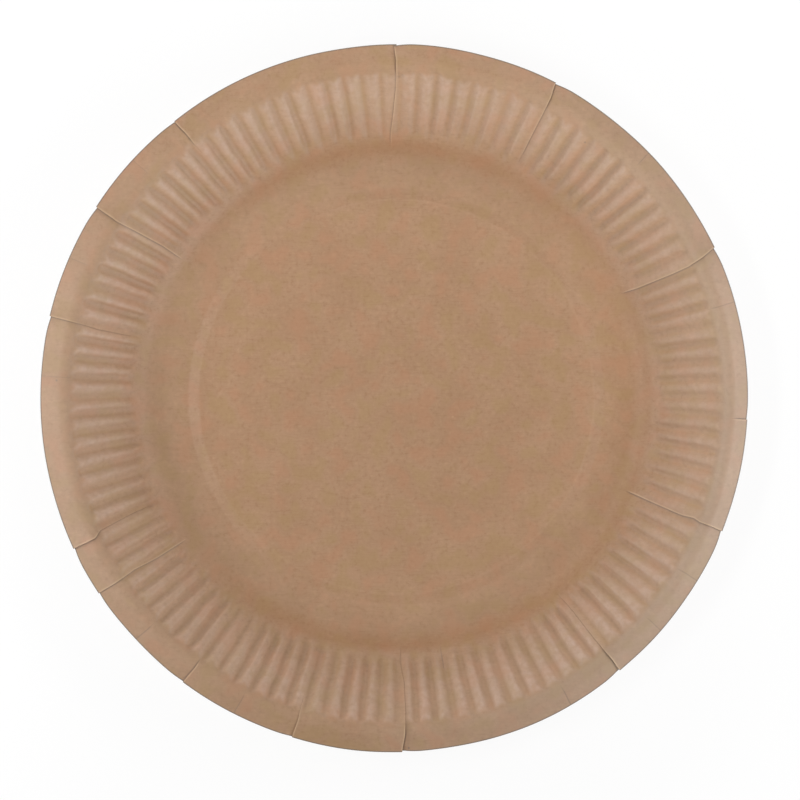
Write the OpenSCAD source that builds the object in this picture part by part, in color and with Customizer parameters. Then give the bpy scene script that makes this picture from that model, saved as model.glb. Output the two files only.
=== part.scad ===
// Round plate pressed from one sheet of kraft board: a raised centre panel, a flat foot ring,
// a coved and fluted wall, and a plain brim. The board that the pressing gathers lies in lapped pleats.

/* [Plate] */
// Diameter over the cut edge
plate_d = 230; // [180:1:300]
// Height of the brim's crest over the table
plate_h = 19; // [14:0.5:26]
// Thickness of the pressed board
board_t = 0.45; // [0.3:0.05:0.8]

/* [Base] */
// Width of the flat ring that the plate stands on
foot_w = 7.4; // [4:0.2:14]
// Height of the raised centre panel over the foot ring
panel_rise = 0.9; // [0.4:0.1:2]
// Width of the slope around the centre panel
panel_slope_w = 3.5; // [2:0.1:8]

/* [Wall] */
// Width of the wall from the foot ring to the brim's crest, seen from above
wall_w = 33.3; // [28:0.1:42]
// Radius of the cove between the foot ring and the wall
cove_r = 15; // [8:0.5:20]
// Radius of the shoulder between the wall and the brim
shoulder_r = 6; // [3:0.5:9]

/* [Brim] */
// Width of the brim from its crest to the cut edge
brim_w = 6.2; // [5:0.1:10]
// Angle at which the outer lip turns down
lip_angle = 18; // [8:1:28]

/* [Flutes] */
// Number of flutes around the wall
flute_count = 108; // [72:1:116]
// Depth of a flute from its crest to its valley
flute_depth = 1; // [0.4:0.1:2]
// Length over which a flute rises out of the cove
flute_foot = 4; // [2:0.5:7]
// Length over which a flute dies out under the brim
flute_head = 2; // [1:0.5:4]
// Turn of the first flute's crest from the +X axis
flute_turn = 1.75; // [0:0.05:3]

/* [Lapped pleats] */
// Step from the lower board up onto a lap
lap_h = 0.45; // [0.2:0.05:0.8]
// Width of board hidden under a lap at the cut edge
lap_w = 1.8; // [0.8:0.1:3]
// Width over which a lap settles back onto the wall beside it
lap_run = 9; // [4:0.5:12]
// Length over which the step grows from the inner end of a pleat
lap_growth = 12; // [6:0.5:18]
// Notch in the cut edge beside a lap
lap_notch = 0.5; // [0.1:0.1:1]
// Length of a pleat that reaches into the cove
cove_pleat = 36; // [32:0.5:40]
// Length of a pleat that ends at the foot of the flutes
wall_pleat = 29; // [24:0.5:31]
// Length of a pleat that stays in the brim
brim_pleat = 9; // [6:0.5:12]

/* [Hidden] */

// Pleats around the plate: angle, length from the cut edge, and the side of its lap (1 is counterclockwise)
pleats = [
    [25, cove_pleat, 1],
    [62.6, wall_pleat, 1],
    [90.3, cove_pleat, -1],
    [128.3, brim_pleat, -1],
    [147.2, cove_pleat, -1],
    [166.3, wall_pleat, -1],
    [204.7, wall_pleat, -1],
    [213.8, cove_pleat, -1],
    [233.3, brim_pleat, 1],
    [253.2, brim_pleat, 1],
    [271.3, cove_pleat, -1],
    [309.7, cove_pleat, 1],
    [338.1, cove_pleat, 1],
    [356.6, brim_pleat, 1],
];

// Facets along the rounds, and columns of points in one flute
cove_steps = 3;
shoulder_steps = 4;
flute_columns = 6;
// Half the angle that the face of a step takes up
step_angle = 0.03;

// Radii and heights of the middle of the board
edge_r = plate_d / 2 - board_t / 2 * sin(lip_angle);
crest_r = plate_d / 2 - brim_w;
base_r = crest_r - wall_w;
panel_foot_r = base_r - foot_w;
panel_r = panel_foot_r - panel_slope_w;
foot_z = board_t / 2;
crest_z = plate_h - board_t / 2;

// Most of the wall's width that the cove and the shoulder may take up, so that they leave a straight wall
round_share = 0.8;
round_fit = min(1, round_share * wall_w / (cove_r + shoulder_r));
cove = cove_r * round_fit;
shoulder = shoulder_r * round_fit;
cove_z = foot_z + cove;
shoulder_z = crest_z - shoulder;
centre_gap = [wall_w, shoulder_z - cove_z];
wall_angle = atan2(centre_gap.y, centre_gap.x) + asin((cove + shoulder) / norm(centre_gap));
wall_length = sqrt(centre_gap * centre_gap - pow(cove + shoulder, 2));
lap_angle = lap_w / edge_r * 180 / PI;

// A place on the section: radius, height, slope and share of the flutes' depth there
function cove_place(slope) = [base_r + cove * sin(slope), cove_z - cove * cos(slope), slope, 0];
function shoulder_place(slope) =
    [crest_r - shoulder * sin(slope), shoulder_z + shoulder * cos(slope), slope, 0];
function wall_place(along) =
    let (start = cove_place(wall_angle))
    [start[0] + along * cos(wall_angle), start[1] + along * sin(wall_angle), wall_angle, 1];
function lip_place(r) =
    let (start = shoulder_place(-lip_angle))
    [r, start[1] - (r - start[0]) * tan(lip_angle), -lip_angle, 0];

// The section from the centre panel out to the cut edge
base_places = [
    [panel_r, foot_z + panel_rise, 0, 0],
    [panel_foot_r, foot_z, 0, 0],
    for (i = [0 : cove_steps]) cove_place(wall_angle * i / cove_steps),
];
flute_places = [wall_place(flute_foot), wall_place(wall_length - flute_head)];
brim_places = [
    for (i = [0 : shoulder_steps])
        shoulder_place(wall_angle - (wall_angle + lip_angle) * i / shoulder_steps),
    lip_place(edge_r),
];
places = concat(base_places, flute_places, brim_places);
ring_count = len(places);

// Points of a ring stand over the flutes' crests up to the wall, and over their valleys in the brim
function is_fluted(i) = places[i][3] > 0;
function ring_columns(i) = flute_count * (is_fluted(i) ? flute_columns : 1);
function ring_turn(i) = flute_turn + (i < len(base_places) + len(flute_places) ? 0 : 180 / flute_count);

// Signed angle from -180 up to 180
function signed(a) = a - 360 * floor((a + 180) / 360);

// A pleat steps up at its fold on the upper face (side 1), and behind the hidden lap on the underside (-1)
function pleat_place(pleat, side) = pleat[0] + (side > 0 ? 0 : pleat[2] * lap_angle);
function pleat_growth(pleat, r) = min(1, max(0, (r - edge_r + pleat[1]) / lap_growth));
// Distance around the edge from a pleat's step, positive on its lap
function past_step(pleat, side, a) = pleat[2] * signed(a - pleat_place(pleat, side)) * PI / 180 * edge_r;
function sum(list) = list * [for (value = list) 1];
function lap_lift(i, side, a) = lap_h * sum([
    for (pleat = pleats)
        let (past = past_step(pleat, side, a))
        past > 0 ? max(0, 1 - past / lap_run) * pleat_growth(pleat, places[i][0]) : 0
]);
function edge_notch(i, side, a) = i < ring_count - 1 ? 0 : lap_notch * sum([
    for (pleat = pleats)
        let (past = past_step(pleat, side, a))
        past > 0 ? 0 : max(0, 1 + past / lap_run) * pleat_growth(pleat, places[i][0])
]);

// Angles of a ring's points: even columns, with the nearest one split in two at each pleat's step
function ring_angles(i, side) =
    let (n = ring_columns(i))
    let (r = places[i][0])
    let (steps = [for (pleat = pleats) if (pleat_growth(pleat, r) > 0) pleat_place(pleat, side)])
    [
        for (k = [0 : n - 1])
            let (a = ring_turn(i) + k * 360 / n)
            let (offsets = [for (step = steps) signed(step - a)])
            let (near = [for (off = offsets) if (off >= -180 / n && off < 180 / n) a + off])
            each near == [] ? [a] : [near[0] - step_angle, near[0] + step_angle]
    ];

// A point on one side of the board, moved off its middle by the flute, the lap and the notch
function board_point(i, side, a) =
    let (place = places[i])
    let (slope = place[2])
    let (wave = place[3] * flute_depth / 2 * cos(flute_count * (a - flute_turn)))
    let (off = wave + side * board_t / 2)
    let (notch = edge_notch(i, side, a))
    let (r = place[0] - off * sin(slope) - notch * cos(slope))
    [r * cos(a), r * sin(a), place[1] + off * cos(slope) - notch * sin(slope) + lap_lift(i, side, a)];

// Triangles between two rings, in the order in which the middles of their segments come around
function middles(angles) =
    let (ahead = [for (k = [1 : len(angles) - 1]) angles[k], angles[0] + 360])
    (angles + ahead) / 2;
function count_below(list, value) = len([for (entry = list) if (entry < value) 1]);
function count_up_to(list, value) = len([for (entry = list) if (entry <= value) 1]);
function band(inner, inner_first, outer, outer_first) =
    let (m = len(inner))
    let (n = len(outer))
    let (inner_middles = middles(inner))
    let (outer_middles = middles(outer))
    concat(
        [for (k = [0 : m - 1]) [
            inner_first + k,
            inner_first + (k + 1) % m,
            outer_first + count_below(outer_middles, inner_middles[k]) % n,
        ]],
        [for (k = [0 : n - 1]) [
            outer_first + (k + 1) % n,
            outer_first + k,
            inner_first + count_up_to(inner_middles, outer_middles[k]) % m,
        ]]
    );
function turned(faces) = [for (face = faces) [face[2], face[1], face[0]]];
function starts(rings, i = 0, first = 1) =
    i == len(rings) ? [first] : concat([first], starts(rings, i + 1, first + len(rings[i])));

// One side of the board: its points from the centre out, and the triangles between its rings
function skin_angles(side) = [for (i = [0 : ring_count - 1]) ring_angles(i, side)];
function skin_points(rings, side) = concat(
    [[0, 0, places[0][1] + side * board_t / 2]],
    [for (i = [0 : ring_count - 1]) for (a = rings[i]) board_point(i, side, a)]
);
function skin_faces(rings) =
    let (first = starts(rings))
    let (n = len(rings[0]))
    concat(
        [for (k = [0 : n - 1]) [0, first[0] + (k + 1) % n, first[0] + k]],
        [for (i = [0 : ring_count - 2]) each band(rings[i], first[i], rings[i + 1], first[i + 1])]
    );

module plate() {
    upper = skin_angles(1);
    under = skin_angles(-1);
    upper_points = skin_points(upper, 1);
    under_points = skin_points(under, -1);
    under_first = len(upper_points);
    upper_edge = starts(upper)[ring_count - 1];
    under_edge = under_first + starts(under)[ring_count - 1];
    color("#ab8a6b")
        polyhedron(
            concat(upper_points, under_points),
            concat(
                skin_faces(upper),
                [for (face = turned(skin_faces(under))) face + [1, 1, 1] * under_first],
                band(upper[ring_count - 1], upper_edge, under[ring_count - 1], under_edge)
            )
        );
}

plate();
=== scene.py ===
import math
import random

import bmesh
import bpy
from mathutils import Matrix, Vector, noise


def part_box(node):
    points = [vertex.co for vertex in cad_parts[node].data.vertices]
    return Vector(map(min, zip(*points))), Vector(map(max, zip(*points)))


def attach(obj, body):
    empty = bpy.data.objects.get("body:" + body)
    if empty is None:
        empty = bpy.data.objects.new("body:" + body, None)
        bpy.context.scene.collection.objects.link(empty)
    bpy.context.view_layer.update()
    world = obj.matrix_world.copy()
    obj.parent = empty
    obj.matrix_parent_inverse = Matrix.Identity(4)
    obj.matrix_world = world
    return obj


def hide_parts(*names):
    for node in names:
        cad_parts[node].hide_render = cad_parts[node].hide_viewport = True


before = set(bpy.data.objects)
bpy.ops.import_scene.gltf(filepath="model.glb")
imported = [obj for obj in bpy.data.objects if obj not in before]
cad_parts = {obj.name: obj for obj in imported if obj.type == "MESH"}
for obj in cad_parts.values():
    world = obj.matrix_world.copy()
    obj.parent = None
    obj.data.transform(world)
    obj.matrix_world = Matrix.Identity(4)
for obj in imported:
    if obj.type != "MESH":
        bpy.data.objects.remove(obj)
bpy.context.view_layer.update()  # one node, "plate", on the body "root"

plateLow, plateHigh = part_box("plate")
mm = 0.001
tiny = mm / 1000

form = {  # sizes of the plate and the marks that its press leaves
    # section of the board, from the centre out to the cut edge
    "thick": 0.45 * mm,
    "brimWide": 6.2 * mm,  # crest of the brim to the cut edge
    "wallWide": 33.3 * mm,  # foot ring to the crest, seen from above
    "footWide": 7.4 * mm,
    "panelSlopeWide": 3.5 * mm,
    "panelRise": 0.9 * mm,
    "panelBend": 0.5 * mm,  # run of a bend on each side of its corner
    "coveRadius": 15 * mm,
    "shoulderRadius": 6 * mm,
    "lipAngle": math.radians(18),
    "lapStep": 0.45 * mm,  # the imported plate's laps stand this much over its brim
    "edgeShadeStrip": 0.45 * mm,  # strip along the cut edge that gets a painted dark outline
    "dieOff": Vector((0.7 * mm, 0, 0)),  # the board was cut a little off the die's centre
    "columns": 864,  # eight to a flute
    "sectors": 32,  # copies of one spun sector
    "bendParts": 3,  # steps of each stretch of the section
    "coveParts": 8,
    "wallParts": 18,
    "headParts": 6,
    "shoulderParts": 10,
    "lipParts": 3,
    # flutes
    "fluteCount": 108,
    "fluteTurn": 1.63,  # degrees from +X to the first crest
    "fluteSkew": (-40, 52),  # degrees of a wave by which the flutes lag at +X and at +Y
    "fluteDepth": 1.0 * mm,
    "fluteSteep": 1.3,  # how steep a flute's sides are against its ridge and its floor
    "fluteLevel": 0.47,  # height in a flute that lies level with the wall
    "fluteFoot": 4.5 * mm,  # length over which a flute rises out of the cove
    "fluteHead": 1.7 * mm,  # length of a flute's end under the brim
    "fluteHeadOver": 1.5 * mm,  # reach of that end past the straight wall
    "fluteRound": 1.2 * mm,  # how much a valley's corners end before its middle
    "fluteUneven": 0.2,  # share by which the pressed depth varies
    "fluteSides": [(355, 8, -0.25), (310, 8, 0.25), (205, 8, 0.2)],  # sides where the depth differs
    "fluteDrift": 22,  # degrees of a wave by which a flute wanders
    "fluteDriftNoise": (7.5, 180),  # size of that noise around the plate and to a metre of radius
    "fluteEndUneven": 0.8 * mm,
    "fluteLump": 0.13 * mm,  # wrinkles along a ridge
    "fluteLumpLong": 2.6 * mm,
    "fluteFlat": 0.55,  # share of the depth that a fold presses out beside it
    "fluteFlatWide": 3 * mm,
    "ridgeNarrow": [(180, 4, 0.3)],
    # sides where the ridges' pale wear and painted sheen differ
    "ridgeWearAndSheen": [(150, 1, 0.1), (330, 1, -0.1), (215, 8, -0.3), (295, 6, 0.4)],
    "ridgeWearAndSheenRun": (-0.2, 0.9),  # shares of the wall's length where the pale wear and painted sheen start and are full
    # board that doesn't lie quite true
    "brimSway": 0.45 * mm,
    "brimSwayNoise": (1.6, 3.1),  # waves and layer of the noise
    "brimRipple": 0.2 * mm,
    "brimRippleNoise": (4, 7.7),
    "edgeRipple": 0.3 * mm,
    # pleats
    "pleatKinds": {
        # lift of the lap where the wall is pressed flat and in the brim, length of lower board that runs
        # on under it there, and how dark the painted shadow along its crease is
        "strong": {"wallLift": 0.2 * mm, "lift": 0.72 * mm, "under": 1.1 * mm, "crease": 1.0},
        "plain": {"wallLift": 0.18 * mm, "lift": 0.55 * mm, "under": 0.9 * mm, "crease": 0.85},
        "weak": {"wallLift": 0, "lift": 0.26 * mm, "under": 0, "crease": 1.0},
        "score": {"wallLift": 0.04 * mm, "lift": 0.07 * mm, "under": 0, "crease": 0.75},
    },
    "pleatGrowth": 6 * mm,  # length over which a fold grows from its inner end
    "pleatStand": 5 * mm,  # length below the crest over which a lap comes to stand
    "pleatRun": 7 * mm,  # width over which a lap settles back beside its fold
    "pleatBend": 6,  # columns on each side that give way to a bent fold
    "pleatSettle": 8 * mm,  # length over which they straighten again inside the fold
    "pleatNotch": 0.5 * mm,
    "pleatFaint": 0.3,  # share of a crease's strength that the pressed wall keeps
    "pleatSink": 0.2,  # share of the step that the lower board gives
    "pleatSharp": 1.8,  # times the lift on the wall of the folds that show full there
    "pleatClear": 1.3,  # times the board's thickness at which a lap stands clear
    "dents": [
        {"radius": 105.8 * mm, "angle": 89.65, "wide": 1.2 * mm, "deep": 0.45 * mm},
        {"radius": 104.6 * mm, "angle": 89.6, "wide": 1.2 * mm, "deep": 0.45 * mm},
        {"radius": 105.1 * mm, "angle": 88.95, "wide": 1.2 * mm, "deep": 0.35 * mm},
    ],
    "dentShade": 0.6,  # how dark the painted shade in the dents is
    "creaseWide": 0.9 * mm,
    "scoreWide": 0.5 * mm,
    # marks of the press and painted light and shade: how wide and how strong each is, and the sides of
    # the plate where that changes, each as degrees from +X, power that narrows the side, and share
    # pale pressing of the die, with painted sheen on the wall and painted light at the left heel
    "burnishAndSheen": {
        "foot": 0.55,
        "footRun": 4.5 * mm,
        "footFade": 9 * mm,
        "footSides": [(0, 8, -0.8), (200, 1, -0.75)],
        "heel": 0.5,
        "heelRun": 5 * mm,
        "heelFull": 3 * mm,
        "heelFade": 9 * mm,
        "heelSides": [(180, 2, 1)],
        "wallStart": 7 * mm,
        "wallStartSides": [(70, 1, -5 * mm)],
        "wallFull": 3 * mm,
        "wallFade": 1 * mm,
        "wallEnd": 3 * mm,
        "wallSides": [(60, 1, 0.2), (240, 1, -0.2)],
    },
    # painted sheen on the brim, full on the lips at the sides
    "brimSheen": {
        "start": 1.5 * mm,
        "full": 1 * mm,
        "allRound": 0.1,
        "sides": [(350, 1, 1.7), (315, 4, 0.5), (190, 2, 0.9)],
    },
    # painted shade at the foot of the cove
    "coveShade": {
        "startSides": [(0, 3, 9 * mm)],
        "full": 2.5 * mm,
        "fade": 2 * mm,
        "leftFade": (-1, -0.4),  # how far a side faces +X where the mark starts and where it is full
        "sides": [(90, 2, 0.5), (270, 2, 0.5)],
    },
    # painted highlight along the panel's convex edge
    "panelEdgeHighlight": {"wide": 1 * mm, "sides": [(180, 1, -0.6)]},
}

# folds of the gathered board: side that laps over (1 is counterclockwise) and the path of the fold
# from the cut edge in, as radius in mm and angle in degrees; onWall is the share of the crease that
# shows on the wall, and crease stands in for the kind's own
cutFolds = [
    {
        "kind": "strong", "lap": 1, "onWall": 1,
        "path": [(115, 25.3), (105, 24.2), (99, 24.1), (87, 24.2), (79, 24.7)],
    },
    {
        "kind": "plain", "lap": 1, "onWall": 1,
        "path": [(115, 62.9), (102.5, 62.4), (94, 62.3), (86, 62.1)],
    },
    {
        "kind": "plain", "lap": -1, "longer": -1, "onWall": 0.9, "crease": 0.8,
        "path": [(115, 90), (102, 89.7), (92, 90.3), (86, 90.8), (79, 90.8)],
    },
    {"kind": "weak", "lap": -1, "onWall": 0.7, "path": [(115, 128.4), (106, 128.1), (101, 128)]},
    {
        "kind": "strong", "lap": -1, "onWall": 0.9,
        "path": [(115, 147.2), (107, 147.4), (99, 147.1), (90, 146.8), (79.5, 147)],
    },
    {
        "kind": "plain", "lap": -1, "onWall": 0.7, "crease": 1,
        "path": [(115, 166.5), (104, 166.6), (99, 166.9), (85, 166.8)],
    },
    {
        "kind": "strong", "lap": -1, "onWall": 0.6,
        "path": [(115, 205.1), (107, 205), (104.8, 204.2), (92, 203.8), (85, 204)],
    },
    {
        "kind": "weak", "lap": -1, "onWall": 1, "crease": 0.9,
        "path": [(115, 213.4), (101, 213.4), (93, 214.1), (86, 214.3), (79.5, 214.4)],
    },
    {"kind": "weak", "lap": 1, "onWall": 0.6, "path": [(115, 233.3), (102, 233.3)]},
    {"kind": "weak", "lap": 1, "onWall": 0.7, "crease": 0.4, "path": [(115, 253.2), (101, 253)]},
    {
        "kind": "strong", "lap": -1, "onWall": 0.4,
        "path": [(115, 271.3), (103, 272.1), (93, 272), (86, 271.2), (79, 271.7)],
    },
    {
        "kind": "strong", "lap": 1, "onWall": 0.5,
        "path": [(115, 309.7), (102, 309.75), (91, 309.9), (79.5, 309.6)],
    },
    {
        "kind": "strong", "lap": 1, "onWall": 1,
        "path": [(115, 338), (107, 338), (105, 338.3), (101, 337.9), (79, 338)],
    },
    {"kind": "weak", "lap": -1, "path": [(115, 356.6), (107, 356.6)]},
    {"kind": "score", "lap": 1, "path": [(115, 15.9), (103, 15.9)]},
    {"kind": "score", "lap": 1, "path": [(115, 44), (106, 44)]},
    {"kind": "score", "lap": -1, "crease": 0.6, "path": [(115, 137.6), (104, 137.6)]},
    {"kind": "score", "lap": -1, "crease": 0.6, "path": [(115, 156.5), (104, 156.5)]},
    {"kind": "score", "lap": -1, "crease": 0.6, "path": [(115, 176.3), (101, 176.3)]},
    {"kind": "score", "lap": 1, "crease": 0.9, "path": [(115, 223), (104, 223)]},
    {"kind": "score", "lap": 1, "path": [(115, 243), (104, 243)]},
    {"kind": "score", "lap": 1, "path": [(90, 280.3), (79.5, 280.5)]},
    {"kind": "score", "lap": -1, "crease": 0.9, "path": [(115, 300), (105, 300)]},
    {"kind": "score", "lap": 1, "path": [(115, 319), (105, 319)]},
    {"kind": "score", "lap": -1, "path": [(115, 329), (104, 329)]},
]

edgeRadius = (plateHigh.x - plateLow.x) / 2 - form["thick"] / 2 * math.sin(form["lipAngle"])
crestHigh = plateHigh.z - form["lapStep"] - form["thick"] / 2
crestRadius = edgeRadius - form["brimWide"]
baseRadius = crestRadius - form["wallWide"]
panelEdge = baseRadius - form["footWide"] - form["panelSlopeWide"]
footHigh = form["thick"] / 2
coveCentre = Vector((baseRadius, 0, footHigh + form["coveRadius"]))
shoulderCentre = Vector((crestRadius, 0, crestHigh - form["shoulderRadius"]))
centreGap = shoulderCentre - coveCentre
roundSum = form["coveRadius"] + form["shoulderRadius"]
wallAngle = math.atan2(centreGap.z, centreGap.x) + math.asin(roundSum / centreGap.length)
wallNormal = Vector((-math.sin(wallAngle), 0, math.cos(wallAngle)))
wallStart = coveCentre - form["coveRadius"] * wallNormal
wallEnd = shoulderCentre + form["shoulderRadius"] * wallNormal
wallLong = (wallEnd - wallStart).length
columnStep = 360 / form["columns"]


def smooth(low, high, value):  # eased step from 0 at low to 1 at high
    share = min(1, max(0, (value - low) / (high - low)))
    return share * share * (3 - 2 * share)


def signedAngle(angle):  # degrees from -180 up to 180
    return (angle + 180) % 360 - 180


def polar(place):
    return math.hypot(place.x, place.y), math.degrees(math.atan2(place.y, place.x))


def fromPolar(radius, angle, high):
    turn = math.radians(angle)
    return Vector((radius * math.cos(turn), radius * math.sin(turn), high))


def aroundNoise(angle, waves, layer):  # smooth noise that closes around the plate
    turn = math.radians(angle)
    return noise.noise(Vector((math.cos(turn) * waves, math.sin(turn) * waves, layer)))


def penLine(bm, tip, place, parts):  # extrudes the section's tip to a new place in equal parts
    start = tip.co.copy()
    for part in range(1, parts + 1):
        tip = bmesh.ops.extrude_vert_indiv(bm, verts=[tip])["verts"][0]
        tip.co = start.lerp(place, part / parts)
    return tip


def penArc(bm, tip, centre, axis, angle, parts):  # swings the section's tip around a centre
    ends = bmesh.ops.spin(bm, geom=[tip], cent=centre, axis=axis, angle=angle, steps=parts)["geom_last"]
    return [end for end in ends if isinstance(end, bmesh.types.BMVert)][0]


def drawSection(bm):
    bend = form["panelBend"]
    panelFoot = panelEdge + form["panelSlopeWide"]
    panelHigh = footHigh + form["panelRise"]
    slope = math.atan2(form["panelRise"], form["panelSlopeWide"])
    bendRadius = bend / math.tan(slope / 2)
    tip = bmesh.ops.create_vert(bm, co=(0, 0, panelHigh))["vert"][0]
    tip = penLine(bm, tip, Vector((panelEdge - bend, 0, panelHigh)), 1)
    parts = form["bendParts"]
    tip = penArc(bm, tip, tip.co - Vector((0, 0, bendRadius)), (0, 1, 0), slope, parts)
    slopeEnd = Vector((panelFoot - bend * math.cos(slope), 0, footHigh + bend * math.sin(slope)))
    tip = penLine(bm, tip, slopeEnd, 1)
    tip = penArc(bm, tip, Vector((panelFoot + bend, 0, footHigh + bendRadius)), (0, -1, 0), slope, parts)
    tip = penLine(bm, tip, Vector((baseRadius, 0, footHigh)), 1)
    tip = penArc(bm, tip, coveCentre, (0, -1, 0), wallAngle, form["coveParts"])
    headStart = wallEnd.lerp(wallStart, form["fluteHead"] / wallLong)
    tip = penLine(bm, tip, headStart, form["wallParts"])
    tip = penLine(bm, tip, wallEnd, form["headParts"])
    shoulderTurn = wallAngle + form["lipAngle"]
    tip = penArc(bm, tip, shoulderCentre, (0, 1, 0), shoulderTurn, form["shoulderParts"])
    fall = math.tan(form["lipAngle"])
    edgeHigh = tip.co.z - (edgeRadius - tip.co.x) * fall
    stripStart = Vector((edgeRadius - form["edgeShadeStrip"], 0, edgeHigh + form["edgeShadeStrip"] * fall))
    tip = penLine(bm, tip, stripStart, form["lipParts"])
    penLine(bm, tip, Vector((edgeRadius, 0, edgeHigh)), 1)


def foldAngle(fold, radius):  # angle of a fold at a radius
    path = fold["path"]
    spot = radius / mm
    for (outer, outerAngle), (inner, innerAngle) in zip(path, path[1:]):
        if spot >= inner:
            share = min(1, (spot - inner) / (outer - inner))
            return innerAngle + (outerAngle - innerAngle) * share
    return path[-1][1]


def fromDie(fold):  # the fold with its path from the die's centre instead of the cut edge's
    path = []
    for radius, angle in fold["path"]:
        share = 1 - smooth(crestRadius, edgeRadius, radius * mm)
        radius, angle = polar(fromPolar(radius * mm, angle, 0) - form["dieOff"] * share)
        path.append((radius / mm, angle % 360))
    return {**fold, "path": path}


folds = [fromDie(fold) for fold in cutFolds]


def foldStart(fold):
    return fold["path"][-1][0] * mm


def foldEnd(fold):  # folds that reach the edge have no end inside the board
    outermost = fold["path"][0][0] * mm
    return outermost if outermost < crestRadius else 2 * edgeRadius


def foldColumn(fold):  # number of the column of points that becomes the fold
    angles = [angle for radius, angle in fold["path"]]
    middle = (max(angles) + min(angles)) / 2
    return round((middle - form["fluteTurn"]) / columnStep) % form["columns"]


def sortColumns(bm, columnTag):  # points of each column
    columns = [[] for column in range(form["columns"])]
    for vert in bm.verts:
        if vert.co.xy.length > mm:
            columns[vert[columnTag]].append(vert)
    return columns


def bendColumns(columns):  # pulls the columns beside each fold onto its line
    reach = form["pleatBend"]
    for fold in folds:
        middle = foldColumn(fold)
        start = foldStart(fold)
        middleAngle = form["fluteTurn"] + middle * columnStep
        for step in range(-reach, reach + 1):
            near = smooth(0, 1, 1 - abs(step) / reach)
            for vert in columns[(middle + step) % form["columns"]]:
                radius, angle = polar(vert.co)
                settle = smooth(start - form["pleatSettle"], start, radius)
                shift = signedAngle(foldAngle(fold, radius) - middleAngle) * near * settle
                if fold["kind"] == "score" and abs(step) == 1:  # a score is narrower than a column
                    shift -= step * (columnStep - math.degrees(form["scoreWide"] / radius)) * settle
                vert.co = fromPolar(radius, angle + shift, vert.co.z)


def ripPleats(bm, columns):
    for fold in folds:
        if fold["kind"] == "score":
            continue
        start = foldStart(fold)
        line = {vert for vert in columns[foldColumn(fold)] if vert.co.xy.length > start}
        torn = {edge for vert in line for edge in vert.link_edges if edge.other_vert(vert) in line}
        bmesh.ops.split_edges(bm, edges=list(torn))


def lapPleats(bm, columns):  # lift, sideways move, notch, painted crease shadow, painted fold highlight and flatness at each point
    bm.verts.index_update()
    moves = [[0, 0, 0, 0, 0, 0] for vert in bm.verts]
    run = form["pleatRun"]
    for fold in folds:
        kind = form["pleatKinds"][fold["kind"]]
        mark = fold.get("crease", kind["crease"])
        onWall = fold.get("onWall", form["pleatFaint"])
        middle = foldColumn(fold)
        start = foldStart(fold)
        reach = math.ceil(math.degrees(run / start) / columnStep) + form["pleatBend"]
        for step in range(-reach, reach + 1):
            for vert in columns[(middle + step) % form["columns"]]:
                radius, angle = polar(vert.co)
                if not start < radius < foldEnd(fold):
                    continue
                grown = smooth(0, form["pleatGrowth"], radius - start)
                stand = smooth(crestRadius - form["pleatStand"], crestRadius, radius)
                low = kind["wallLift"] * (form["pleatSharp"] if onWall == 1 else 1)
                rise = grown * (low + (kind["lift"] - low) * stand)
                off = signedAngle(angle - foldAngle(fold, radius))
                past = math.radians(off) * radius * fold["lap"]  # from the fold, positive on the lap
                move = moves[vert.index]
                if fold["kind"] == "score":
                    move[0] -= rise * (step == 0)
                    move[3] = max(move[3], mark * grown * (step == 0))
                    continue
                if step == 0:
                    beside = polar(vert.link_faces[0].calc_center_median())[1]
                    past = math.copysign(tiny, signedAngle(beside - angle) * fold["lap"])
                fade = max(0, 1 - abs(past) / run) ** 2
                near = 1 - abs(past) / form["creaseWide"]
                if step == 0 and past < 0:  # board runs on under a lap that stands clear of it
                    clear = smooth(form["thick"], form["pleatClear"] * form["thick"], rise)
                    under = kind["under"] * clear
                    move[1] += fold["lap"] * under
                    near += under / form["creaseWide"]
                near = grown * max(0, near) * (onWall + (1 - onWall) * stand)
                longer = fold.get("longer", 1)  # side of the fold that stands out at the cut edge
                move[0] += rise * fade * (1 - form["pleatSink"] if past > 0 else -form["pleatSink"])
                notch = form["pleatNotch"] * min(1, kind["lift"] / form["thick"])
                move[2] += notch * stand * fade * (past * longer < 0)
                # painted shadow of the lap on the lower board beside it
                if past < 0:
                    move[3] = max(move[3], mark * near)
                # painted highlight on the lap beside its fold
                else:
                    move[4] = max(move[4], kind["crease"] * near)
                flat = smooth(form["fluteFlatWide"], 0, abs(past))
                move[5] = max(move[5], grown * flat * kind["crease"])
    return moves


def facing(angle, toward):  # 1 on the side of the plate at an angle, -1 across from it
    return math.cos(math.radians(angle - toward))


def bySide(angle, sides):  # sum of shares that are each full on one side of the plate
    return sum(share * max(0, facing(angle, side)) ** power for side, power, share in sides)


pressSeed = random.Random(38)
valleys = range(form["fluteCount"])
valleyDepths = [1 + form["fluteUneven"] * pressSeed.uniform(-1, 1) for valley in valleys]
valleyFeet = [form["fluteEndUneven"] * pressSeed.uniform(-1, 1) for valley in valleys]
valleyHeads = [form["fluteEndUneven"] / 2 * pressSeed.uniform(-1, 1) for valley in valleys]


def fluteWave(radius, angle):  # number of a valley, place across it from -1 to 1, height from 0 to 1
    skew = Vector((*form["fluteSkew"], 0)).dot(fromPolar(1, angle, 0))
    around, outward = form["fluteDriftNoise"]
    drift = form["fluteDrift"] * noise.noise(fromPolar(around, angle, radius * outward))
    phase = (angle - form["fluteTurn"]) * form["fluteCount"] + skew + drift
    valley = math.floor(phase / 360) % form["fluteCount"]
    wave = math.cos(math.radians(phase)) - bySide(angle, form["ridgeNarrow"])
    ridge = 0.5 + 0.5 * math.tanh(form["fluteSteep"] * wave) / math.tanh(form["fluteSteep"])
    return valley, (phase % 360) / 180 - 1, ridge


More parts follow.
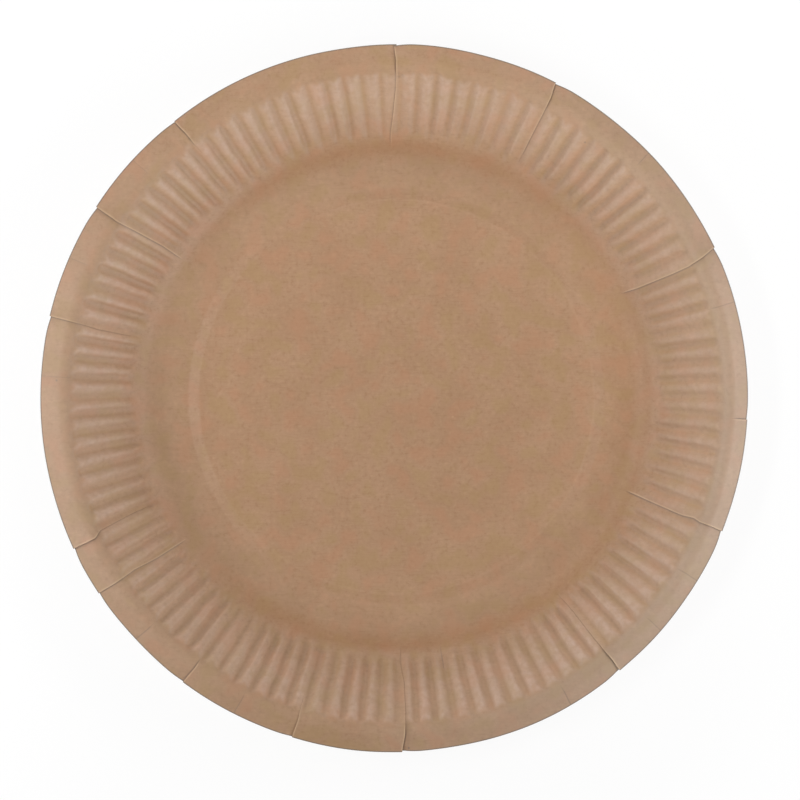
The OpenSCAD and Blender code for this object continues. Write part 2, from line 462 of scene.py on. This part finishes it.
def fluteShape(radius, angle):  # height of the flutes off the wall and how pale a ridge is, by its wear and a painted sheen
    along = (radius - wallStart.x) / math.cos(wallAngle)
    if along < -2 * form["fluteEndUneven"] or along > wallLong + 2 * form["fluteHeadOver"]:
        return 0, 0
    valley, across, ridge = fluteWave(radius, angle)
    corner = form["fluteRound"] * across * across
    foot = valleyFeet[valley] + corner
    head = wallLong + form["fluteHeadOver"] + valleyHeads[valley] - corner
    ends = smooth(foot, foot + form["fluteFoot"], along) * smooth(head, head - form["fluteHead"], along)
    ends *= valleyDepths[valley] * (1 + bySide(angle, form["fluteSides"]))
    lump = form["fluteLump"] * noise.noise(fromPolar(radius, angle, 0) / form["fluteLumpLong"])
    high = (ridge - form["fluteLevel"]) * form["fluteDepth"] + ridge * lump
    wornAndSheen = 1 + bySide(angle, form["ridgeWearAndSheen"])
    wornAndSheen *= smooth(*form["ridgeWearAndSheenRun"], along / wallLong)
    return ends * high, ends * ridge * wornAndSheen


def burnishAndSheen(radius, angle):  # how pale the die has pressed the board, with painted sheen on the wall and painted light at the cove's heel on the left
    mark = form["burnishAndSheen"]
    foot = smooth(panelEdge, panelEdge + mark["footRun"], radius)
    foot *= smooth(baseRadius + mark["footFade"], baseRadius, radius)
    foot *= 1 + bySide(angle, mark["footSides"])
    heel = smooth(baseRadius - mark["heelRun"], baseRadius, radius)
    heel *= smooth(baseRadius + mark["heelFade"], baseRadius + mark["heelFull"], radius)
    heel *= bySide(angle, mark["heelSides"])
    start = baseRadius + mark["wallStart"] + bySide(angle, mark["wallStartSides"])
    wall = smooth(start, wallEnd.x - mark["wallFull"], radius)
    wall *= 1 - smooth(wallEnd.x - mark["wallFade"], crestRadius + mark["wallEnd"], radius)
    wall *= 1 + bySide(angle, mark["wallSides"])
    return mark["foot"] * foot + mark["heel"] * heel + wall


def brimSheen(radius, angle):  # painted sheen on the brim, greyest on its lips at the sides
    mark = form["brimSheen"]
    onBrim = smooth(wallEnd.x - mark["start"], crestRadius - mark["full"], radius)
    return onBrim * (mark["allRound"] + bySide(angle, mark["sides"]))


def coveShade(radius, angle):  # painted shade at the foot of the cove, strongest at the top and bottom of the plate
    mark = form["coveShade"]
    inner = smooth(baseRadius - bySide(angle, mark["startSides"]), wallStart.x - mark["full"], radius)
    outer = smooth(wallStart.x + mark["fade"], wallStart.x - mark["fade"], radius)
    left = smooth(*mark["leftFade"], facing(angle, 0))
    return inner * outer * left * (1 + bySide(angle, mark["sides"]))


def panelEdgeHighlight(radius, angle):  # painted highlight along the panel's convex edge
    mark = form["panelEdgeHighlight"]
    return max(0, 1 - abs(radius - panelEdge) / mark["wide"]) * (1 + bySide(angle, mark["sides"]))


def dentAt(place):  # depth of the knocks in the board at a place, and how dark the painted shade in them is
    depth = 0
    mark = 0
    for dent in form["dents"]:
        gap = (place - fromPolar(dent["radius"], dent["angle"], place.z)).length
        near = smooth(dent["wide"], 0, gap)
        depth += dent["deep"] * near
        mark = max(mark, form["dentShade"] * near)
    return depth, mark


def pressSheet(bm, tags, moves):
    turns = [column * columnStep for column in range(form["columns"])]
    sways = [aroundNoise(turn, *form["brimSwayNoise"]) for turn in turns]
    ripples = [aroundNoise(turn, *form["brimRippleNoise"]) for turn in turns]
    for vert, (lift, slide, notch, crease, foldHighlight, flat) in zip(bm.verts, moves):
        radius, angle = polar(vert.co)
        if radius < mm:
            continue
        column = vert[tags["column"]]
        dent, dentShade = dentAt(vert.co)
        flute, ridge = (share * (1 - form["fluteFlat"] * flat) for share in fluteShape(radius, angle))
        atEdge = smooth(crestRadius, edgeRadius, radius)
        outward = smooth(baseRadius, crestRadius, radius)
        # painted highlight on the panel's edge
        vert[tags["panelHighlight"]] = panelEdgeHighlight(radius, angle)
        # pale wear of the ridges with a painted sheen
        vert[tags["ridge"]] = ridge
        # pale pressing with painted sheen and painted light
        vert[tags["burnishAndSheen"]] = burnishAndSheen(radius, angle)
        # painted sheen on the brim
        vert[tags["brimSheen"]] = brimSheen(radius, angle)
        # painted shade in the cove
        vert[tags["coveShade"]] = coveShade(radius, angle)
        # painted shadow under the laps and painted shade in the dents
        vert[tags["crease"]] = max(crease, dentShade)
        # painted highlight beside each fold
        vert[tags["foldHighlight"]] = foldHighlight
        # painted dark outline along the cut edge
        vert[tags["cut"]] = smooth(edgeRadius - form["edgeShadeStrip"], edgeRadius, radius)
        sway = form["brimSway"] * sways[column] + form["brimRipple"] * ripples[column]
        high = vert.co.z + flute * wallNormal.z + lift - dent + outward * sway
        radius += flute * wallNormal.x + atEdge * (form["edgeRipple"] * ripples[column] - notch)
        place = fromPolar(radius, angle + math.degrees(slide / radius), high)
        vert.co = place + form["dieOff"] * (1 - atEdge)


def faceOrder(face):  # number from a face's three lowest points, the same in each run
    span = 1e5  # more than the sheet has points
    low, middle, high = sorted(vert.index for vert in face.verts)[:3]
    return (low * span + middle) * span + high


def makePlate():
    bm = bmesh.new()
    drawSection(bm)
    turn = Matrix.Rotation(math.radians(form["fluteTurn"]), 3, "Z")
    bmesh.ops.rotate(bm, verts=bm.verts, cent=(0, 0, 0), matrix=turn)
    sector = 2 * math.pi / form["sectors"]
    bmesh.ops.spin(
        bm, geom=bm.verts[:] + bm.edges[:], cent=(0, 0, 0), axis=(0, 0, 1),
        angle=sector, steps=form["columns"] // form["sectors"],
    )
    bmesh.ops.spin(
        bm, geom=bm.verts[:] + bm.edges[:] + bm.faces[:], cent=(0, 0, 0), axis=(0, 0, 1),
        angle=2 * math.pi - sector, steps=form["sectors"] - 1, use_duplicate=True,
    )
    bmesh.ops.remove_doubles(bm, verts=bm.verts, dist=tiny)
    bmesh.ops.recalc_face_normals(bm, faces=bm.faces)
    if sum(face.normal.z for face in bm.faces) < 0:
        bmesh.ops.reverse_faces(bm, faces=bm.faces)
    bm.verts.index_update()
    bm.faces.sort(key=faceOrder)
    print("plate spun:", len(bm.faces), "faces")

    tags = {"column": bm.verts.layers.int.new("column")}
    for name in ("panelHighlight", "ridge", "burnishAndSheen", "brimSheen", "coveShade", "crease", "foldHighlight", "cut"):
        tags[name] = bm.verts.layers.float.new(name)
    for vert in bm.verts:
        turned = polar(vert.co)[1] - form["fluteTurn"]
        vert[tags["column"]] = round(turned / columnStep) % form["columns"]
    columns = sortColumns(bm, tags["column"])
    bendColumns(columns)
    ripPleats(bm, columns)
    moves = lapPleats(bm, sortColumns(bm, tags["column"]))
    pressSheet(bm, tags, moves)
    for face in bm.faces:
        face.smooth = True
    for edge in bm.edges:
        edge.smooth = not edge.is_boundary
    print("plate fluted and pleated:", len(bm.faces), "faces")

    mesh = bpy.data.meshes.new("plateSheet")
    bm.to_mesh(mesh)
    bm.free()
    piece = bpy.data.objects.new("plateSheet", mesh)
    bpy.context.scene.collection.objects.link(piece)
    board = piece.modifiers.new("board", "SOLIDIFY")
    board.thickness = form["thick"]
    board.offset = 0
    board.use_even_offset = True
    board.material_offset_rim = 1
    return piece


def addNode(tree, kind, values=(), **settings):
    node = tree.nodes.new(kind)
    for name, value in settings.items():
        setattr(node, name, value)
    for socket, value in dict(values).items():
        node.inputs[socket].default_value = value
    return node


def addMath(tree, operation, first, second):
    node = addNode(tree, "ShaderNodeMath", operation=operation)
    for socket, value in zip(node.inputs, (first, second)):
        if isinstance(value, bpy.types.NodeSocket):
            tree.links.new(value, socket)
        else:
            socket.default_value = value
    return node.outputs[0]


def addRamp(tree, source, low, high, lowOut, highOut):
    ends = {"From Min": low, "From Max": high, "To Min": lowOut, "To Max": highOut}
    node = addNode(tree, "ShaderNodeMapRange", ends, interpolation_type="SMOOTHSTEP")
    tree.links.new(source, node.inputs["Value"])
    return node.outputs["Result"]


def addTint(tree, share, under, tint):  # lays a tint over a colour
    node = addNode(tree, "ShaderNodeMix", data_type="RGBA")
    colourA, colourB = [socket for socket in node.inputs if socket.type == "RGBA"]
    tree.links.new(share, node.inputs["Factor"])
    if isinstance(under, bpy.types.NodeSocket):
        tree.links.new(under, colourA)
    else:
        colourA.default_value = (*under, 1)
    colourB.default_value = (*tint, 1)
    return [socket for socket in node.outputs if socket.type == "RGBA"][0]


def addNoise(tree, place, scale, detail=2, rough=0.5):
    node = addNode(tree, "ShaderNodeTexNoise", {"Scale": scale, "Detail": detail, "Roughness": rough})
    tree.links.new(place, node.inputs["Vector"])
    return node.outputs["Fac"]


def addStretch(tree, place, scale, turn):
    node = addNode(tree, "ShaderNodeMapping", {"Scale": scale, "Rotation": (0, 0, turn)})
    tree.links.new(place, node.inputs["Vector"])
    return node.outputs["Vector"]


def addAttribute(tree, name):
    return addNode(tree, "ShaderNodeAttribute", attribute_name=name).outputs["Fac"]


def newFinish(name, roughness, specular):  # material, its tree, its shader and its place on the board
    material = bpy.data.materials.new(name)
    material.use_nodes = True
    tree = material.node_tree
    tree.nodes.clear()
    output = addNode(tree, "ShaderNodeOutputMaterial")
    values = {"Roughness": roughness, "Specular IOR Level": specular}
    shader = addNode(tree, "ShaderNodeBsdfPrincipled", values)
    tree.links.new(shader.outputs[0], output.inputs["Surface"])
    place = addNode(tree, "ShaderNodeTexCoord").outputs["Object"]
    return material, tree, shader, place


kraftFinish = {
    "base": (0.378, 0.228, 0.135),
    "light": (0.47, 0.29, 0.17),
    "deep": (0.25, 0.13, 0.06),
    "pink": (0.42, 0.205, 0.115),
    "olive": (0.335, 0.215, 0.09),
    "pressed": (0.75, 0.55, 0.37),  # pale of fibre that the die has burnished, and of the painted sheen and painted highlights
    "wornAndSheen": (0.65, 0.495, 0.425),  # ridges rubbed pale, with a painted sheen
    # brown of the painted shade in the cove
    "coveShadeTint": (0.25, 0.085, 0.01),
    "sheenGrey": (0.42, 0.4, 0.36),  # grey of the painted sheen on the brim
    "inkAndShade": (0.13, 0.11, 0.09),  # dark of the pulp's specks, and of the painted shade under the laps, in the dents and along the cut edge
    "roughness": 0.45,
    "specular": 0.3,
    # noise of the pulp: grains to a metre, detail and roughness
    "noises": {"grain": (680, 3, 0.6), "cloud": (75, 3, 0.55), "patch": (140, 1, 0.5)},
    "fibre": (250, 1900, 900),
    "fibreTurn": 0.35,
    # noise, its values where a tint starts and is full, share of the tint and the tint
    "mottles": [
        ("grain", 0.5, 0.75, 0.44, "light"),
        ("grain", 0.5, 0.25, 0.38, "deep"),
        ("fibre", 0.5, 0.75, 0.2, "deep"),
        ("cloud", 0.35, 0.65, 0.2, "deep"),
        ("patch", 0.5, 0.7, 0.36, "pink"),
        ("patch", 0.5, 0.3, 0.36, "olive"),
    ],
    "speck": 210,  # cells to a metre, of which a few hold a speck
    "speckSize": (0.06, 0.1),
    "darkFrom": 0.985,
    "darkShare": 0.5,
    "lightBelow": 0.02,
    "lightShare": 0.4,
    # tint and share of each mark by its attribute: pale pressing with painted sheen, painted sheen on the
    # brim and painted shade in the cove
    "pressAndLightTints": {"coveShade": ("coveShadeTint", 0.17), "burnishAndSheen": ("pressed", 0.12), "brimSheen": ("sheenGrey", 0.12)},
    "wearAndSheen": 450,  # patches to a metre in the pale wear and painted sheen of the ridges
    "wearAndSheenEnds": (0.3, 0.7),
    "wearAndSheenShares": (0.14, 0.28),
    # tint of each line, values of its attribute where the tint starts and is full, and share; the lines
    # are painted highlights on the panel's edge and beside the folds, painted shadow under the laps and
    # in the dents, and a painted dark outline along the cut edge
    "lines": {
        "panelHighlight": ("pressed", 0.2, 1.0, 0.06),
        "crease": ("inkAndShade", 0.2, 1.0, 0.5),
        "foldHighlight": ("pressed", 0.2, 1.0, 0.3),
        "cut": ("inkAndShade", 0.05, 0.5, 0.75),
    },
    "bumpStrength": 0.3,
    "bumpHigh": 0.03 * mm,
    # the cut edge
    "edgeRoughness": 0.8,
    "edgeSpecular": 0.2,
    "edgeLayers": (600, 600, 9000),
    "edgeEnds": (0.35, 0.65),
    "edgeShare": 0.5,
    "edgeFoldHighlightEnds": (0.3, 0.6),  # painted highlight on the lap's own edge, by its crease
    "edgeFoldHighlightShare": 0.9,
}


def addSpecks(tree, place, colour):  # dark and light specks in a few cells of the pulp
    look = kraftFinish
    cells = addNode(tree, "ShaderNodeTexVoronoi", {"Scale": look["speck"]})
    tree.links.new(place, cells.inputs["Vector"])
    pick = addNode(tree, "ShaderNodeSeparateColor")
    tree.links.new(cells.outputs["Color"], pick.inputs[0])
    dot = addRamp(tree, cells.outputs["Distance"], *look["speckSize"], 1, 0)
    isDark = addMath(tree, "GREATER_THAN", pick.outputs[0], look["darkFrom"])
    isLight = addMath(tree, "LESS_THAN", pick.outputs[0], look["lightBelow"])
    dark = addMath(tree, "MULTIPLY", addMath(tree, "MULTIPLY", dot, isDark), look["darkShare"])
    light = addMath(tree, "MULTIPLY", addMath(tree, "MULTIPLY", dot, isLight), look["lightShare"])
    return addTint(tree, light, addTint(tree, dark, colour, look["inkAndShade"]), look["light"])


def kraftBoard():
    look = kraftFinish
    material, tree, shader, place = newFinish("kraftBoard", look["roughness"], look["specular"])
    noises = {name: addNoise(tree, place, *values) for name, values in look["noises"].items()}
    noises["fibre"] = addNoise(tree, addStretch(tree, place, look["fibre"], look["fibreTurn"]), 1)
    colour = look["base"]
    for name, low, high, share, tint in look["mottles"]:
        colour = addTint(tree, addRamp(tree, noises[name], low, high, 0, share), colour, look[tint])
    colour = addSpecks(tree, place, colour)
    for name, (tint, share) in look["pressAndLightTints"].items():
        mark = addMath(tree, "MULTIPLY", addAttribute(tree, name), share)
        colour = addTint(tree, mark, colour, look[tint])
    # pale wear of the ridges with a painted sheen, in patches
    wearAndSheen = addRamp(tree, addNoise(tree, place, look["wearAndSheen"]), *look["wearAndSheenEnds"], *look["wearAndSheenShares"])
    wearAndSheen = addMath(tree, "MULTIPLY", addAttribute(tree, "ridge"), wearAndSheen)
    colour = addTint(tree, wearAndSheen, colour, look["wornAndSheen"])
    for name, (tint, low, high, share) in look["lines"].items():
        line = addRamp(tree, addAttribute(tree, name), low, high, 0, share)
        colour = addTint(tree, line, colour, look[tint])
    tree.links.new(colour, shader.inputs["Base Color"])
    relief = {"Strength": look["bumpStrength"], "Distance": look["bumpHigh"]}
    bump = addNode(tree, "ShaderNodeBump", relief)
    tree.links.new(addMath(tree, "ADD", noises["grain"], noises["fibre"]), bump.inputs["Height"])
    tree.links.new(bump.outputs["Normal"], shader.inputs["Normal"])
    return material


def cutEdge():
    look = kraftFinish
    material, tree, shader, place = newFinish("kraftCutEdge", look["edgeRoughness"], look["edgeSpecular"])
    grain = addNoise(tree, addStretch(tree, place, look["edgeLayers"], 0), 1)
    pale = addRamp(tree, grain, *look["edgeEnds"], 0, look["edgeShare"])
    colour = addTint(tree, pale, look["deep"], look["light"])
    # painted highlight on the lap's edge
    lapEdgeHighlight = addRamp(tree, addAttribute(tree, "crease"), *look["edgeFoldHighlightEnds"], 0, look["edgeFoldHighlightShare"])
    colour = addTint(tree, lapEdgeHighlight, colour, look["light"])
    tree.links.new(colour, shader.inputs["Base Color"])
    return material


plate = makePlate()
plate.data.materials.append(kraftBoard())
plate.data.materials.append(cutEdge())
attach(plate, "root")
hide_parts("plate")
print("kraft board finish set")


studio = {
    "floorWide": 6.0,
    "floorOff": 0.8,  # keeps the floor's diagonal clear of the plate
    "floorGap": 0.02 * mm,
    "floorWhite": 0.9,  # share of plain white that the camera sees in the floor
    "floorShade": 0.93,
    "worldLight": 0.01,
    "softboxSize": (0.8, 0.2),
    "stripSize": (0.3, 0.06),
    "lights": {
        # kind of lamp, degrees around from +X, distance out and height in metres, watts
        "leftSoftbox": ("softbox", 180, 0.8, 1.39, 6.9),
        "frontLeftSoftbox": ("softbox", 225, 1.45, 0.68, 5.9),
        "frontRightSoftbox": ("softbox", 315, 1.45, 0.68, 7.4),
        "lowFrontRightSoftbox": ("softbox", 315, 1.58, 0.22, 4.2),
        "rightStrip": ("strip", 0, 0.3, 0.22, 0.61),
        "lowRightStrip": ("strip", 0, 0.3, 0.06, 0.06),
        "leftStrip": ("strip", 180, 0.3, 0.12, 0.53),
        "backStrip": ("strip", 90, 0.3, 0.12, 0.47),
    },
}


def whiteToCamera(tree):  # 1 for rays from the camera and for mirrored or clear ones
    rays = addNode(tree, "ShaderNodeLightPath").outputs
    mirrored = addMath(tree, "MAXIMUM", rays["Is Glossy Ray"], rays["Is Transmission Ray"])
    return addMath(tree, "MAXIMUM", rays["Is Camera Ray"], mirrored)


def makeFloor():
    bm = bmesh.new()
    bmesh.ops.create_grid(bm, x_segments=1, y_segments=1, size=studio["floorWide"] / 2)
    shift = (studio["floorOff"], 0, plateLow.z - studio["floorGap"])
    bmesh.ops.translate(bm, verts=bm.verts, vec=shift)
    mesh = bpy.data.meshes.new("floor")
    bm.to_mesh(mesh)
    bm.free()
    floor = bpy.data.objects.new("floor", mesh)
    bpy.context.scene.collection.objects.link(floor)
    material = bpy.data.materials.new("paleFloor")
    material.use_nodes = True
    tree = material.node_tree
    tree.nodes.clear()
    output = addNode(tree, "ShaderNodeOutputMaterial")
    shade = studio["floorShade"]
    matte = addNode(tree, "ShaderNodeBsdfDiffuse", {"Color": (shade, shade, shade, 1)})
    white = addNode(tree, "ShaderNodeEmission", {"Color": (1, 1, 1, 1), "Strength": 1.0})
    blend = addNode(tree, "ShaderNodeMixShader")
    tree.links.new(addMath(tree, "MULTIPLY", whiteToCamera(tree), studio["floorWhite"]), blend.inputs[0])
    tree.links.new(matte.outputs[0], blend.inputs[1])
    tree.links.new(white.outputs[0], blend.inputs[2])
    below = addNode(tree, "ShaderNodeMixShader")  # from below the floor is clear
    clear = addNode(tree, "ShaderNodeBsdfTransparent")
    tree.links.new(addNode(tree, "ShaderNodeNewGeometry").outputs["Backfacing"], below.inputs[0])
    tree.links.new(blend.outputs[0], below.inputs[1])
    tree.links.new(clear.outputs[0], below.inputs[2])
    tree.links.new(below.outputs[0], output.inputs["Surface"])
    mesh.materials.append(material)


def makeLights():
    for name, (kind, around, out, high, watts) in studio["lights"].items():
        lamp = bpy.data.lights.new(name, "AREA")
        lamp.shape = "RECTANGLE"
        lamp.size, lamp.size_y = studio[kind + "Size"]
        lamp.energy = watts
        light = bpy.data.objects.new(name, lamp)
        light.location = fromPolar(out, around, high)
        light.rotation_euler = (-light.location).to_track_quat("-Z", "Y").to_euler()
        light.visible_camera = False
        bpy.context.scene.collection.objects.link(light)
    world = bpy.data.worlds.new("studioWorld")
    world.use_nodes = True
    bpy.context.scene.world = world
    tree = world.node_tree
    tree.nodes.clear()
    output = addNode(tree, "ShaderNodeOutputWorld")
    white = (1, 1, 1, 1)
    ambient = addNode(tree, "ShaderNodeBackground", {"Color": white, "Strength": studio["worldLight"]})
    backdrop = addNode(tree, "ShaderNodeBackground", {"Color": white, "Strength": 1.0})
    blend = addNode(tree, "ShaderNodeMixShader")
    tree.links.new(whiteToCamera(tree), blend.inputs[0])
    tree.links.new(ambient.outputs[0], blend.inputs[1])
    tree.links.new(backdrop.outputs[0], blend.inputs[2])
    tree.links.new(blend.outputs[0], output.inputs["Surface"])


cameraView = {
    "imageWide": 800,  # pixels
    "plateRadius": 354.4,  # pixels from the plate's centre to its cut edge
    "plateCentre": (394.2, 398.8),  # pixels from the upper left corner
    "lean": 2.0,  # degrees off straight down
    "leanToward": 90,  # degrees from +X
    "distance": 2.4,
    "sensor": 36.0,
}


def makeCamera():
    view = cameraView
    pixel = (plateHigh.x - plateLow.x) / 2 / view["plateRadius"]
    lean = math.radians(view["lean"])
    back = fromPolar(math.sin(lean), view["leanToward"], math.cos(lean))
    right = Vector((0, 1, 0)).cross(back).normalized()
    up = back.cross(right)
    offRight = (view["imageWide"] / 2 - view["plateCentre"][0]) * pixel
    offUp = (view["plateCentre"][1] - view["imageWide"] / 2) * pixel
    aim = Vector((0, 0, crestHigh)) + right * offRight + up * offUp
    lens = bpy.data.cameras.new("overheadCamera")
    lens.sensor_width = view["sensor"]
    lens.lens = view["sensor"] * view["distance"] / (view["imageWide"] * pixel)
    camera = bpy.data.objects.new("overheadCamera", lens)
    camera.location = aim + back * view["distance"]
    camera.rotation_euler = Matrix((right, up, back)).transposed().to_euler()
    bpy.context.scene.collection.objects.link(camera)
    bpy.context.scene.camera = camera


makeFloor()
makeLights()
makeCamera()
bpy.context.scene.view_settings.view_transform = "Standard"
print("studio and camera set")
